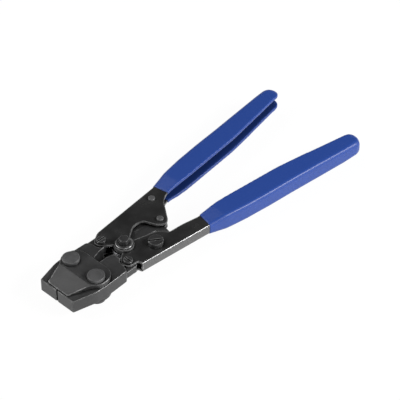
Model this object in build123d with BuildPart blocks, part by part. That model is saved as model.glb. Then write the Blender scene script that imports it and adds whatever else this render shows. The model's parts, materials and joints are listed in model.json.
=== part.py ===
"""Ratchet tool that pinches clamp rings onto plastic water pipe, in millimetres.

The jaws point along -Y and the handles along +Y. The tool lies flat, with +Z up and
its lowest faces on Z = 0. Distances named BACK are counted from the jaws' front face,
distances named UP from the tool's middle plane, and X is counted outwards from the
centre line, so the same value serves the left and the right side.
"""

import os
from math import acos, atan2, ceil, cos, degrees, hypot, radians, sin, sqrt

from build123d import *

os.makedirs("parts", exist_ok=True)

# Overall size and general thicknesses
LENGTH = 264.0
FRONT_Y = -LENGTH / 2
SHEET = 1.5
COAT = 1.0
SLIDE_GAP = 0.1
PIN_GAP = 0.06
FIXED_GAP = 0.02
RIGHT = 1
LEFT = -1

# Heights above and below the middle plane. The right channel is centred on it. The left channel,
# of the same height, stands a sheet and a gap higher, so that their flanges alternate at the pivot
JAW_UP = 5.1
LINK_THICK = 3.2
LINK_LOW_UP = JAW_UP + SLIDE_GAP
LINK_UP = LINK_LOW_UP + LINK_THICK
JAW_RIVET_HEAD = 2.75
MID_Z = LINK_UP + JAW_RIVET_HEAD
CHANNEL_UP = 4.3
CHANNEL_IN_UP = CHANNEL_UP - SHEET
MID_UP = {LEFT: SHEET + SLIDE_GAP, RIGHT: 0.0}
LEFT_UP = MID_UP[LEFT] + CHANNEL_UP
LEFT_IN_UP = MID_UP[LEFT] + CHANNEL_IN_UP
LEFT_LOW = MID_UP[LEFT] - CHANNEL_UP
LEFT_IN_LOW = MID_UP[LEFT] - CHANNEL_IN_UP

# Pivots, as (x outwards, distance back)
JAW_PIVOT = (12.45, 25.2)
TAIL_PIVOT = (13.3, 54.5)
MAIN_PIVOT = (0.0, 63.7)
RELEASE_PIVOT = (14.3, 80.6)
SECTOR_RIVETS = ((0.0, 99.0), (-19.2, 109.8))

# Jaws
JAW_GAP = 1.3
NOSE_HALF = 16.0
JAW_HALF = 21.1
TAIL_HALF = 19.8
JAW_STEP_BACK = 46.4
TAIL_ROUND = 5.1
ROLL_GAP = 0.3
EAR_POCKET_R = 3.6
EAR_POCKET_BACK = 8.0
JAW_EDGE = 0.3
TAIL_UP = CHANNEL_IN_UP - SLIDE_GAP

# Link plates and jaw rivets
LINK_FRONT_BACK = 1.2
LINK_REAR_BACK = 37.5
LINK_NOSE_HALF = 9.7
LINK_HALF = 20.2
LINK_BEVEL_BACK = 17.4
LINK_NOSE_THICK = 0.9
LINK_EDGE = 0.35
LINK_TAIL_X = (-10.5, 3.8)
LINK_TAIL_BACK = 61.0
LINK_TAIL_R = 2.0
LINK_TAIL_ROOM = 7.0
JAW_RIVET_R = 4.0
JAW_RIVET_HEAD_R = 6.3
JAW_RIVET_EDGE = 0.7

# Handle channels and the coats of their grips
LOBE_R = 4.8
LOBE_ROOM = 0.9
BOSS_R = 7.2
TIP_LOBE_R = 5.5
LOW_TIP_LOBE_R = 4.7
WEB_FRONT_BACK = 60.3
WEB_BEND_R = 1.8
GRIP_BEND_R = 2.6
GRIP_END_BEND_R = 4.0
LEAST_BEND_R = 0.3
CHANNEL_DEEP = 60.0
END_BACK = {LEFT: LENGTH - COAT - 3.8, RIGHT: LENGTH - COAT}
END_X = 44.9
END_INNER_X = {LEFT: 33.8, RIGHT: 34.4}
END_CORNER_R = {LEFT: 7.0, RIGHT: 5.5}
END_R = 5.1
END_UP = 5.45
END_DROP = 1.7
END_TURNS = (0.0, 30.0, 60.0, 90.0)
RIM_SHARE = 0.48
INNER_SHARE = 0.4
RIM_OUTER = (28.5, 119.9)
RIM_INNER = (15.6, 122.3)

# Screws, bolt, nuts and washers
TAIL_SCREW_R = 2.5
THREAD_R = 2.0
TAIL_SCREW_HEAD_R = 3.45
TAIL_SCREW_HEAD = 1.9
TAIL_SLOT = (1.0, 0.9)
LEFT_SLOT_DEG = 88.0
RIGHT_SLOT_DEG = 0.0
SCREW_EDGE = 0.5
TAIL_NUT_FLATS = 7.0
TAIL_NUT = 2.2
PIVOT_BOLT_R = 2.0
PIVOT_HEX_FLATS = 7.0
PIVOT_HEAD = 4.2
PIVOT_NUT = 2.8
WASHER_R = 6.15
WASHER = 1.0
SLEEVE_R = 4.0
PIVOT_ROOM = 0.75
HEX_EDGE = 0.4
HEX_TURN_DEG = 44.0

# Ratchet
SECTOR_LOW = 0.2
SECTOR_THICK = 2.4
SECTOR_TOP = SECTOR_LOW + SECTOR_THICK
TOOTH_TIP_R = 29.0
TOOTH_ROOT_R = 30.3
TOOTH_CUT_R = 28.0
TOOTH_RADII = (TOOTH_TIP_R, 35.2)
TOOTH_DEGS = (52.0, 96.0)
TOOTH_PITCH_DEG = 2.7
TOOTH_COUNT = 8
FAN_RADII = (9.8, 36.0)
FAN_DEGS = (82.0, 122.0)
SECTOR_LOBE_R = 4.6
SECTOR_RIVET_R = 1.6
SECTOR_RIVET_HEAD_R = 2.65
SECTOR_RIVET_HEAD = 1.6
SECTOR_SPACER_R = 3.4

# Release shaft and pawl
SHAFT_R = 3.0
RELEASE_HEAD_R = 5.5
RELEASE_HEAD = 3.5
RELEASE_SLOT = (1.3, 1.5)
RELEASE_SLOT_DEG = 54.6
PAWL_HUB_R = 5.0
PAWL_TIP_R = 28.2
PAWL_TIP_DEG = 70.0
PAWL_TIP_CUT = (1.6, 1.6)
PAWL_SHOULDER = (3.0, 4.0)
LUG_R = 0.8
LUG_HEIGHT = 1.3
LUG_AT = (-2.7, 7.4)
CLIP_R = 5.0
CLIP = 1.0
CLIP_MOUTH = 3.6

# Springs
OPENING_WIRE = 0.82
OPENING_COIL_R = 8.0
OPENING_COIL_UPS = (2.25, -0.65)
OPENING_LEG_AT = (21.3, 76.0)
OPENING_TURNS = 2
PAWL_WIRE = 0.55
PAWL_COIL_R = 3.9
PAWL_COIL_UPS = (-0.2, -2.4)
PAWL_TURNS = 2
PAWL_LEG_START_DEG = 180.0
PAWL_LEG_END_DEG = 240.0
PAWL_LEGS = (9.0, 10.4)
LEAST_WIRE_GAP = 0.4
GAP_STEPS = 900


def place(side, point):
    """Plan position of a point given as (x outwards, distance back) on one side."""
    return (side * point[0], FRONT_Y + point[1])


def level(up):
    """Horizontal plane at a height over the middle plane."""
    return Plane.XY.offset(MID_Z + up)


def disc(centre, radius, low, high, mode=Mode.ADD):
    """Round plate between two heights, put into the open part."""
    with BuildSketch(level(low)) as face:
        with Locations(centre):
            Circle(radius)
    extrude(face.sketch, amount=high - low, mode=mode)


def hexagon(centre, flats, low, high, turn=0.0):
    """Six-sided plate between two heights, put into the open part."""
    with BuildSketch(level(low)) as face:
        with Locations(centre):
            RegularPolygon(flats / 2, 6, major_radius=False, rotation=turn)
    extrude(face.sketch, amount=high - low)


def slot(centre, size, length, high, turn):
    """Screwdriver slot cut down from a height, as (width, depth)."""
    width, depth = size
    with BuildSketch(level(high)) as face:
        with Locations(centre):
            Rectangle(length, width, rotation=turn)
    extrude(face.sketch, amount=-depth, mode=Mode.SUBTRACT)


def rim(high_end):
    """Circular edges at the top or the bottom of the open part."""
    rings = edges().filter_by(GeomType.CIRCLE).group_by(Axis.Z)
    return rings[-1] if high_end else rings[0]


def save(piece, label):
    """Name a finished piece and write it."""
    piece.part.label = label
    export_step(piece.part, f"parts/{label}.step")


# Link plates: half of the outline as (x, back, corner radius), and a nose bevelled to the jaws
LINK_CORNERS = [
    (LINK_NOSE_HALF, LINK_FRONT_BACK, 1.2),
    (14.9, 16.2, 8.0),
    (LINK_HALF, 23.2, 6.0),
    (LINK_HALF, LINK_REAR_BACK, 10.0),
]


def link_outline():
    corners = [(RIGHT, corner) for corner in LINK_CORNERS]
    corners += [(LEFT, corner) for corner in reversed(LINK_CORNERS)]
    with BuildSketch(level(LINK_LOW_UP)) as outline:
        with BuildLine():
            FilletPolyline(
                *[place(side, corner[:2]) for side, corner in corners],
                radius=[corner[2] for _, corner in corners],
                close=True,
            )
        make_face()
        for side in (LEFT, RIGHT):
            with Locations(place(side, JAW_PIVOT)):
                Circle(JAW_RIVET_R + FIXED_GAP, mode=Mode.SUBTRACT)
    return outline.sketch


def bevel_profile():
    nose_y = FRONT_Y
    bend_y = FRONT_Y + LINK_BEVEL_BACK
    slope = (LINK_THICK - LINK_NOSE_THICK) / (LINK_BEVEL_BACK - LINK_FRONT_BACK)
    nose_z = MID_Z + LINK_UP - slope * LINK_BEVEL_BACK
    top_z = MID_Z + LINK_UP + LINK_THICK
    bend_z = MID_Z + LINK_UP
    with BuildSketch(Plane.YZ) as profile:
        with BuildLine():
            Polyline((nose_y, nose_z), (bend_y, bend_z), (bend_y, top_z), (nose_y, top_z), close=True)
        make_face()
    return profile.sketch


with BuildPart() as link_plate_top:
    extrude(link_outline(), amount=LINK_THICK)
    chamfer(faces().sort_by(Axis.Z)[-1].outer_wire().edges(), LINK_EDGE)
    extrude(bevel_profile(), amount=LENGTH, both=True, mode=Mode.SUBTRACT)
save(link_plate_top, "link_plate_top")

# The lower plate also has a tail, which covers the gap between the jaw tails from below
with BuildPart() as link_plate_bottom:
    mirror(link_plate_top.part, about=level(0))
    with BuildSketch(level(-LINK_UP)) as link_tail:
        low_x, high_x = LINK_TAIL_X
        reach = LINK_TAIL_BACK - JAW_PIVOT[1]
        with Locations(place(RIGHT, ((low_x + high_x) / 2, JAW_PIVOT[1] + reach / 2))):
            RectangleRounded(high_x - low_x, reach, LINK_TAIL_R)
        with Locations(place(RIGHT, MAIN_PIVOT)):
            Circle(LINK_TAIL_ROOM, mode=Mode.SUBTRACT)
        for side in (LEFT, RIGHT):
            with Locations(place(side, JAW_PIVOT)):
                Circle(JAW_RIVET_HEAD_R, mode=Mode.SUBTRACT)
    extrude(link_tail.sketch, amount=LINK_THICK)
save(link_plate_bottom, "link_plate_bottom")

# Jaw rivets: a shank with a wide flat head at each end
with BuildPart() as jaw_rivets:
    for side in (LEFT, RIGHT):
        centre = place(side, JAW_PIVOT)
        disc(centre, JAW_RIVET_R, -LINK_UP, LINK_UP)
        disc(centre, JAW_RIVET_HEAD_R, LINK_UP, MID_Z)
        disc(centre, JAW_RIVET_HEAD_R, -MID_Z, -LINK_UP)
    fillet(rim(True) + rim(False), JAW_RIVET_EDGE)
save(jaw_rivets, "jaw_rivets")


# Jaws: they roll on each other at the rivets. Behind these the right one keeps to the centre line,
# and the left one leaves it room to swing
JAW_CORNERS = [
    (JAW_GAP / 2, 0.0, 0.6),
    (NOSE_HALF, 0.0, 0.6),
    (20.6, 17.6, 20.0),
    (JAW_HALF, 27.0, 20.0),
    (20.3, 45.8, 0.8),
    (TAIL_HALF, 47.2, 0.8),
    (TAIL_HALF, 57.2, 2.0),
    (15.0, 59.3, 1.0),
    (TAIL_PIVOT[0] - TAIL_ROUND, TAIL_PIVOT[1], 1.5),
]
ROLL_CORNER = (JAW_GAP / 2, JAW_PIVOT[1], 3.0)
TAIL_CORNERS = {
    LEFT: [(7.7, 47.5, 6.0), ROLL_CORNER],
    RIGHT: [(8.0, 51.4, 1.0), (2.0, 52.2, 1.5), (0.5, 46.5, 2.0), ROLL_CORNER],
}
RELIEF_CORNERS = [(15.6, 48.6), (23.1, 45.4), (23.1, 62.0), (4.0, 62.0), (4.0, 56.0)]


def jaw_outline(side):
    plane = level(-JAW_UP)
    with BuildSketch(plane) as roll:
        with Locations(place(side, JAW_PIVOT)):
            Circle(JAW_PIVOT[0] - ROLL_GAP / 2)
        with Locations(place(side, (JAW_PIVOT[0] + JAW_HALF, JAW_PIVOT[1]))):
            Rectangle(2 * JAW_HALF, 2 * JAW_HALF, mode=Mode.SUBTRACT)
    corners = JAW_CORNERS + TAIL_CORNERS[side]
    with BuildSketch(plane) as outline:
        with BuildLine():
            FilletPolyline(
                *[place(side, corner[:2]) for corner in corners],
                radius=[corner[2] for corner in corners],
                close=True,
            )
        make_face()
        add(roll.sketch_local)
        with Locations(place(side, TAIL_PIVOT)):
            Circle(TAIL_ROUND)
            Circle(TAIL_SCREW_R + PIN_GAP, mode=Mode.SUBTRACT)
        with Locations(place(side, JAW_PIVOT)):
            Circle(JAW_RIVET_R + PIN_GAP, mode=Mode.SUBTRACT)
        with Locations(place(side, (0.0, EAR_POCKET_BACK))):
            Circle(EAR_POCKET_R, mode=Mode.SUBTRACT)
    return outline.sketch


def tail_relief(plane, side):
    """Plan of the thinned tail: the round room of the handle's lobe and all behind it."""
    with BuildSketch(plane) as relief:
        with BuildLine():
            Polyline(*[place(side, corner) for corner in RELIEF_CORNERS], close=True)
        make_face()
        with Locations(place(side, TAIL_PIVOT)):
            Circle(LOBE_R + LOBE_ROOM)
    return relief.sketch


def jaw_rims(side):
    """Edges round the nose and the outer side of the open jaw, above and below."""
    def on_rim(edge):
        spot = edge @ 0.5
        back = spot.Y - FRONT_Y
        level_edge = abs(abs(spot.Z - MID_Z) - JAW_UP) < SLIDE_GAP
        outside = side * spot.X > JAW_PIVOT[0] + JAW_RIVET_R + SHEET
        return level_edge and back < JAW_STEP_BACK - SHEET and (outside or back < JAW_GAP)
    return edges().filter_by(on_rim)


def jaw(side):
    """Forged jaw with a tail thinned to fit between the flanges, put into the open part."""
    extrude(jaw_outline(side), amount=2 * JAW_UP)
    chamfer(jaw_rims(side), JAW_EDGE)
    for way in (1, -1):
        relief = tail_relief(level(MID_UP[side] + way * TAIL_UP), side)
        extrude(relief, amount=way * JAW_UP, mode=Mode.SUBTRACT)


with BuildPart() as left_jaw:
    jaw(LEFT)
save(left_jaw, "left_jaw")

with BuildPart() as right_jaw:
    jaw(RIGHT)
save(right_jaw, "right_jaw")

# Web line of both handles, as (back, x, half height, share of the coat's thickness)
WEB_LINE = [
    (40.0, 20.2, CHANNEL_UP, RIM_SHARE),
    (112.0, 27.4, CHANNEL_UP, RIM_SHARE),
    (120.0, 28.2, CHANNEL_UP, RIM_SHARE),
    (134.0, 30.9, 5.8, 1.0),
    (141.0, 32.1, 5.95, 1.0),
    (152.0, 33.9, 5.95, 1.0),
    (173.0, 36.3, 5.95, 1.0),
    (196.0, 38.3, 5.95, 1.0),
    (220.0, 40.8, 5.9, 1.0),
    (245.0, 43.5, 5.6, 1.0),
]

# Plan corners of the handles, as (x, back, corner radius): the web's front and its far side, the
# inner edge behind the rim with its share of the coat, the inner edges of the plates, the front.
# The left handle ends a little before the right one
WEB_EDGE = {
    LEFT: [
        (17.4, 52.0, 0.5),
        (20.3, 56.8, 1.5),
        (22.4, WEB_FRONT_BACK + SHEET, 0.5),
        (CHANNEL_DEEP, WEB_FRONT_BACK + 2 * SHEET, 1.0),
    ],
    RIGHT: [
        (TAIL_PIVOT[0] + LOBE_R, TAIL_PIVOT[1], 0.5),
        (TAIL_PIVOT[0] + LOBE_R, 59.4, 1.0),
        (21.9, WEB_FRONT_BACK, 1.0),
        (CHANNEL_DEEP, WEB_FRONT_BACK + SHEET, 1.0),
    ],
}
REAR_EDGE = {
    LEFT: [
        (32.4, 249.0, 30.0, 1.0),
        (27.0, 220.0, 80.0, 1.0),
        (23.0, 197.0, 120.0, 1.0),
        (17.7, 145.0, 120.0, 1.0),
        (16.7, 131.0, 40.0, 0.9),
        (16.3, 121.5, 20.0, RIM_SHARE),
    ],
    RIGHT: [
        (31.7, 249.0, 30.0, 1.0),
        (26.4, 220.0, 80.0, 1.0),
        (22.4, 197.0, 120.0, 1.0),
        (17.3, 145.0, 120.0, 1.0),
        (16.7, 131.0, 40.0, 0.9),
        (16.3, 121.5, 20.0, RIM_SHARE),
    ],
}
PLATE_EDGE = {
    LEFT: [
        (12.0, 114.7, 12.0),
        (-3.0, 103.6, 0.5),
        (-4.2, 95.4, 0.5),
        (-2.0, 93.0, 6.0),
        (8.5, 89.2, 5.5),
        (8.2, 80.5, 9.0),
        (2.4, 71.9, 0.5),
        (-1.5, 68.5, 0.5),
    ],
    RIGHT: [
        (13.6, 107.0, 40.0),
        (12.7, 95.6, 4.0),
        (6.2, 90.6, 4.0),
        (0.6, 72.0, 1.0),
        (-1.2, 69.0, 0.5),
    ],
}
FRONT_EDGE = [(4.2, 58.2, 0.5), (8.7, 51.8, 0.5)]


def channel_outline(side, coat):
    """Plan of one handle, with its lobes, made larger behind the rim by a coat."""
    end = END_BACK[side] + coat
    corners = WEB_EDGE[side] + [(CHANNEL_DEEP, end, 1.0)]
    corners += [(END_INNER_X[side] - coat, end, END_CORNER_R[side])]
    corners += [(x - share * coat, back, radius) for x, back, radius, share in REAR_EDGE[side]]
    corners += PLATE_EDGE[side] + FRONT_EDGE
    with BuildSketch(level(0)) as outline:
        with BuildLine():
            FilletPolyline(
                *[place(side, corner[:2]) for corner in corners],
                radius=[corner[2] for corner in corners],
                close=True,
            )
        make_face()
        with Locations(place(side, TAIL_PIVOT)):
            Circle(LOBE_R)
        with Locations(place(side, MAIN_PIVOT)):
            Circle(BOSS_R)
    return outline.sketch


def bar_stations(side, bend, end_bend, skin, coat):
    """Stations of a bar along the web line and round its end, as (back, x, half height, bend).

    The hollow of a channel is a bar smaller by its skin, and runs straight out of the end.
    """
    stations = []
    for back, x, up, share in WEB_LINE:
        grow = skin + share * coat
        stations.append((back, x + grow, up + grow, bend))
    reach = END_R + skin + coat
    for turn in END_TURNS if skin == 0 else END_TURNS[:1]:
        along = radians(turn)
        up = END_UP + skin + coat - END_DROP * (1 - cos(along))
        back = END_BACK[side] - END_R + reach * sin(along)
        stations.append((back, END_X - END_R + reach * cos(along), up, end_bend))
    if skin < 0:
        stations.append((LENGTH + COAT, *stations[-1][1:]))
    return stations


def channel_bar(side, bend, end_bend, skin=0.0, coat=0.0):
    """Bar with round outer edges along the web line, larger all round by skin and coat."""
    with BuildPart() as bar:
        for back, x, up, edge_r in bar_stations(side, bend, end_bend, skin, coat):
            with BuildSketch(Plane.XZ.offset(-FRONT_Y - back)) as section:
                with Locations((side * (x - CHANNEL_DEEP / 2), MID_Z + MID_UP[side])):
                    Rectangle(CHANNEL_DEEP, 2 * up)
                outer = section.vertices().sort_by(Axis.X)
                fillet(outer[-2:] if side == RIGHT else outer[:2], edge_r)
        loft(ruled=True)
    return bar.part


def channel(side):
    """Pressed channel: a web on the outer side and two flanges, put into the open part."""
    add(channel_bar(side, WEB_BEND_R, WEB_BEND_R))
    extrude(channel_outline(side, 0.0), amount=LENGTH, both=True, mode=Mode.INTERSECT)
    add(channel_bar(side, LEAST_BEND_R, LEAST_BEND_R, -SHEET), mode=Mode.SUBTRACT)
    with BuildSketch(level(MID_UP[side] - CHANNEL_IN_UP)) as front:
        with Locations((0.0, FRONT_Y + WEB_FRONT_BACK / 2)):
            Rectangle(LENGTH, WEB_FRONT_BACK)
    extrude(front.sketch, amount=2 * CHANNEL_IN_UP, mode=Mode.SUBTRACT)


with BuildPart() as left_handle_frame:
    channel(LEFT)
    tip_lobe = place(RIGHT, SECTOR_RIVETS[0])
    disc(tip_lobe, TIP_LOBE_R, LEFT_IN_UP, LEFT_UP)
    disc(tip_lobe, LOW_TIP_LOBE_R, LEFT_LOW, LEFT_IN_LOW)
    disc(place(LEFT, TAIL_PIVOT), TAIL_SCREW_R + FIXED_GAP, LEFT_LOW, LEFT_UP, mode=Mode.SUBTRACT)
    disc(place(LEFT, MAIN_PIVOT), PIVOT_BOLT_R + FIXED_GAP, LEFT_LOW, LEFT_UP, mode=Mode.SUBTRACT)
    for rivet in SECTOR_RIVETS:
        disc(place(RIGHT, rivet), SECTOR_RIVET_R + FIXED_GAP, LEFT_LOW, LEFT_UP, mode=Mode.SUBTRACT)
save(left_handle_frame, "left_handle_frame")

with BuildPart() as right_handle_frame:
    channel(RIGHT)
    for hole, radius in (
        (TAIL_PIVOT, TAIL_SCREW_R + FIXED_GAP),
        (MAIN_PIVOT, SLEEVE_R + PIVOT_ROOM),
        (RELEASE_PIVOT, SHAFT_R + PIN_GAP),
    ):
        disc(place(RIGHT, hole), radius, -CHANNEL_UP, CHANNEL_UP, mode=Mode.SUBTRACT)
save(right_handle_frame, "right_handle_frame")


# Grips: a soft coat over the rear of each channel, inside and out, with a slanted front rim
def rim_plan(side):
    slant = (RIM_INNER[1] - RIM_OUTER[1]) / (RIM_OUTER[0] - RIM_INNER[0])
    far_x = RIM_OUTER[0] + CHANNEL_DEEP
    far_back = LENGTH + COAT
    corners = [
        (far_x, RIM_OUTER[1] - slant * CHANNEL_DEEP),
        (0.0, RIM_INNER[1] + slant * RIM_INNER[0]),
        (0.0, far_back),
        (far_x, far_back),
    ]
    with BuildSketch(level(0)) as zone:
        with BuildLine():
            Polyline(*[place(side, corner) for corner in corners], close=True)
        make_face()
    return zone.sketch


def grip(side, frame):
    """Coat round the rear of a channel, put into the open part."""
    add(channel_bar(side, GRIP_BEND_R, GRIP_END_BEND_R, coat=COAT))
    extrude(channel_outline(side, COAT), amount=LENGTH, both=True, mode=Mode.INTERSECT)
    extrude(rim_plan(side), amount=LENGTH, both=True, mode=Mode.INTERSECT)
    add(channel_bar(side, LEAST_BEND_R, LEAST_BEND_R, -SHEET, -INNER_SHARE * COAT), mode=Mode.SUBTRACT)
    add(frame.part, mode=Mode.SUBTRACT)


with BuildPart() as left_grip:
    grip(LEFT, left_handle_frame)
save(left_grip, "left_grip")

with BuildPart() as right_grip:
    grip(RIGHT, right_handle_frame)
save(right_grip, "right_grip")


# Tail pivots: a slotted screw from above and a thin nut below
def tail_screw(side, turn):
    centre = place(side, TAIL_PIVOT)
    low = MID_UP[side] - CHANNEL_UP
    high = MID_UP[side] + CHANNEL_UP
    disc(centre, TAIL_SCREW_R, low, high)
    disc(centre, THREAD_R, low - TAIL_NUT, low)
    disc(centre, TAIL_SCREW_HEAD_R, high, high + TAIL_SCREW_HEAD)
    fillet(rim(True), SCREW_EDGE)
    slot(centre, TAIL_SLOT, 2 * TAIL_SCREW_HEAD_R, high + TAIL_SCREW_HEAD, turn)


def tail_nut(side):
    centre = place(side, TAIL_PIVOT)
    low = MID_UP[side] - CHANNEL_UP
    hexagon(centre, TAIL_NUT_FLATS, low - TAIL_NUT, low)
    chamfer(faces().sort_by(Axis.Z)[0].edges(), HEX_EDGE)
    disc(centre, THREAD_R + FIXED_GAP, low - TAIL_NUT, low, mode=Mode.SUBTRACT)


with BuildPart() as left_tail_screw:
    tail_screw(LEFT, LEFT_SLOT_DEG)
save(left_tail_screw, "left_tail_screw")

with BuildPart() as left_tail_nut:
    tail_nut(LEFT)
save(left_tail_nut, "left_tail_nut")

with BuildPart() as right_tail_screw:
    tail_screw(RIGHT, RIGHT_SLOT_DEG)
save(right_tail_screw, "right_tail_screw")

with BuildPart() as right_tail_nut:
    tail_nut(RIGHT)
save(right_tail_nut, "right_tail_nut")

# Main pivot: bolt, two washers, nut, and the sleeve and collar that the right handle turns on
pivot = place(RIGHT, MAIN_PIVOT)
collar_low = -CHANNEL_UP - SLIDE_GAP
washer_up = LEFT_UP + WASHER
washer_low = collar_low - WASHER
nut_low = washer_low - PIVOT_NUT


def bolted_ring(radius, low, high):
    """Ring round the pivot bolt, put into the open part."""
    disc(pivot, radius, low, high)
    disc(pivot, PIVOT_BOLT_R + FIXED_GAP, low, high, mode=Mode.SUBTRACT)


with BuildPart() as pivot_bolt:
    hexagon(pivot, PIVOT_HEX_FLATS, washer_up, washer_up + PIVOT_HEAD, HEX_TURN_DEG)
    chamfer(faces().sort_by(Axis.Z)[-1].edges(), HEX_EDGE)
    disc(pivot, PIVOT_BOLT_R, nut_low, washer_up)
save(pivot_bolt, "pivot_bolt")

with BuildPart() as pivot_nut:
    hexagon(pivot, PIVOT_HEX_FLATS, nut_low, washer_low, HEX_TURN_DEG)
    chamfer(faces().sort_by(Axis.Z)[0].edges(), HEX_EDGE)
    disc(pivot, PIVOT_BOLT_R + FIXED_GAP, nut_low, washer_low, mode=Mode.SUBTRACT)
save(pivot_nut, "pivot_nut")

with BuildPart() as pivot_washers:
    bolted_ring(WASHER_R, LEFT_UP, washer_up)
    bolted_ring(WASHER_R, washer_low, collar_low)
save(pivot_washers, "pivot_washers")

with BuildPart() as pivot_sleeve:
    bolted_ring(SLEEVE_R, LEFT_IN_LOW, LEFT_IN_UP)
    bolted_ring(SLEEVE_R, collar_low, LEFT_LOW)
save(pivot_sleeve, "pivot_sleeve")


# Ratchet sector: a fan round the main pivot, with teeth on the inner edge of the arc beside it
def round_pivot(radius, turn_deg):
    """Plan position at a radius and an angle round the main pivot."""
    turn = radians(turn_deg)
    return (pivot[0] + radius * cos(turn), pivot[1] + radius * sin(turn))


with BuildPart() as ratchet_sector:
    with BuildSketch(level(SECTOR_LOW)):
        for (inner_r, outer_r), (start, end) in ((TOOTH_RADII, TOOTH_DEGS), (FAN_RADII, FAN_DEGS)):
            with BuildLine():
                inner = CenterArc(pivot, inner_r, start, end - start)
                outer = CenterArc(pivot, outer_r, start, end - start)
                Line(inner @ 0, outer @ 0)
                Line(inner @ 1, outer @ 1)
            make_face()
        with BuildLine():
            near, far = (Vector(*place(RIGHT, rivet)) for rivet in SECTOR_RIVETS)
            across = (far - near).normalized().rotate(Axis.Z, 90) * SECTOR_LOBE_R
            Polyline(near + across, far + across, far - across, near - across, close=True)
        make_face()
        for rivet in SECTOR_RIVETS:
            with Locations(place(RIGHT, rivet)):
                Circle(SECTOR_LOBE_R)
                Circle(SECTOR_RIVET_R + FIXED_GAP, mode=Mode.SUBTRACT)
        for tooth in range(TOOTH_COUNT):
            start = TOOTH_DEGS[0] + (tooth + 0.5) * TOOTH_PITCH_DEG
            end = start + TOOTH_PITCH_DEG
            with BuildLine():
                Polyline(
                    round_pivot(TOOTH_CUT_R, start),
                    round_pivot(TOOTH_ROOT_R, start),
                    round_pivot(TOOTH_TIP_R, end),
                    round_pivot(TOOTH_CUT_R, end),
                    close=True,
                )
            make_face(mode=Mode.SUBTRACT)
    extrude(amount=SECTOR_THICK)
save(ratchet_sector, "ratchet_sector")

with BuildPart() as sector_rivets:
    for rivet in SECTOR_RIVETS:
        centre = place(RIGHT, rivet)
        disc(centre, SECTOR_RIVET_R, LEFT_LOW, LEFT_UP)
        disc(centre, SECTOR_RIVET_HEAD_R, LEFT_UP, LEFT_UP + SECTOR_RIVET_HEAD)
        disc(centre, SECTOR_RIVET_HEAD_R, LEFT_LOW - SECTOR_RIVET_HEAD, LEFT_LOW)
    fillet(rim(True) + rim(False), JAW_RIVET_EDGE)
save(sector_rivets, "sector_rivets")

with BuildPart() as sector_spacers:
    for rivet in SECTOR_RIVETS:
        centre = place(RIGHT, rivet)
        for low, high in ((LEFT_IN_LOW, SECTOR_LOW), (SECTOR_TOP, LEFT_IN_UP)):
            disc(centre, SECTOR_SPACER_R, low, high)
            disc(centre, SECTOR_RIVET_R + FIXED_GAP, low, high, mode=Mode.SUBTRACT)
save(sector_spacers, "sector_spacers")

# Release: a slotted shaft that carries the pawl and is kept by a ring
shaft_at = place(RIGHT, RELEASE_PIVOT)
clip_top = -CHANNEL_UP - SLIDE_GAP
with BuildPart() as release_shaft:
    disc(shaft_at, SHAFT_R, clip_top - CLIP - SLIDE_GAP, CHANNEL_UP + SLIDE_GAP)
    disc(shaft_at, RELEASE_HEAD_R, CHANNEL_UP + SLIDE_GAP, CHANNEL_UP + RELEASE_HEAD)
    fillet(rim(True), SCREW_EDGE)
    slot(shaft_at, RELEASE_SLOT, 2 * RELEASE_HEAD_R, CHANNEL_UP + RELEASE_HEAD, RELEASE_SLOT_DEG)
save(release_shaft, "release_shaft")

tip = Vector(*round_pivot(PAWL_TIP_R, PAWL_TIP_DEG)) - Vector(*shaft_at)
heel = tip - Vector(*PAWL_TIP_CUT)
with BuildPart() as pawl:
    with BuildSketch(level(SECTOR_LOW)):
        with Locations(shaft_at):
            Circle(PAWL_HUB_R)
            Polygon((-PAWL_HUB_R, 0.0), PAWL_SHOULDER, (tip.X, tip.Y), (heel.X, heel.Y), align=None)
            Circle(SHAFT_R + FIXED_GAP, mode=Mode.SUBTRACT)
    extrude(amount=SECTOR_THICK)
    disc((shaft_at[0] + LUG_AT[0], shaft_at[1] + LUG_AT[1]), LUG_R, SECTOR_LOW - LUG_HEIGHT, SECTOR_LOW)
save(pawl, "pawl")

with BuildPart() as release_clip:
    with BuildSketch(level(clip_top - CLIP)):
        with Locations(shaft_at):
            Circle(CLIP_R)
            Circle(SHAFT_R + FIXED_GAP, mode=Mode.SUBTRACT)
        with Locations((shaft_at[0], shaft_at[1] + CLIP_R)):
            Rectangle(CLIP_MOUTH, 2 * (CLIP_R - SHAFT_R), mode=Mode.SUBTRACT)
    extrude(amount=CLIP)
save(release_clip, "release_clip")


# Springs: one wire each, a straight leg, turns of quarter-turn arc pairs, a straight leg
def arc_joint(start, start_way, end, end_way):
    """Point where two tangent arcs from start to end meet."""
    span = end - start
    ways = start_way + end_way
    square = ways.dot(ways) - 4
    line = -2 * span.dot(ways)
    reach = (-line - sqrt(line * line - 4 * square * span.dot(span))) / (2 * square)
    return (start + end + (start_way - end_way) * reach) / 2


def coil_stations(centre, radius, start_deg, sweep_deg, low, high):
    """Points and directions along a coil, at most a quarter turn apart, with level ends."""
    count = ceil(abs(sweep_deg) / 90)
    turn_way = 1 if sweep_deg > 0 else -1
    rise = (high - low) / radians(abs(sweep_deg)) / radius
    stations = []
    for step in range(count + 1):
        angle = radians(start_deg + sweep_deg * step / count)
        point = Vector(
            centre[0] + radius * cos(angle),
            centre[1] + radius * sin(angle),
            MID_Z + low + (high - low) * step / count,
        )
        slope = rise if 0 < step < count else 0.0
        way = Vector(-sin(angle) * turn_way, cos(angle) * turn_way, slope)
        stations.append((point, way.normalized()))
    return stations


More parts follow.
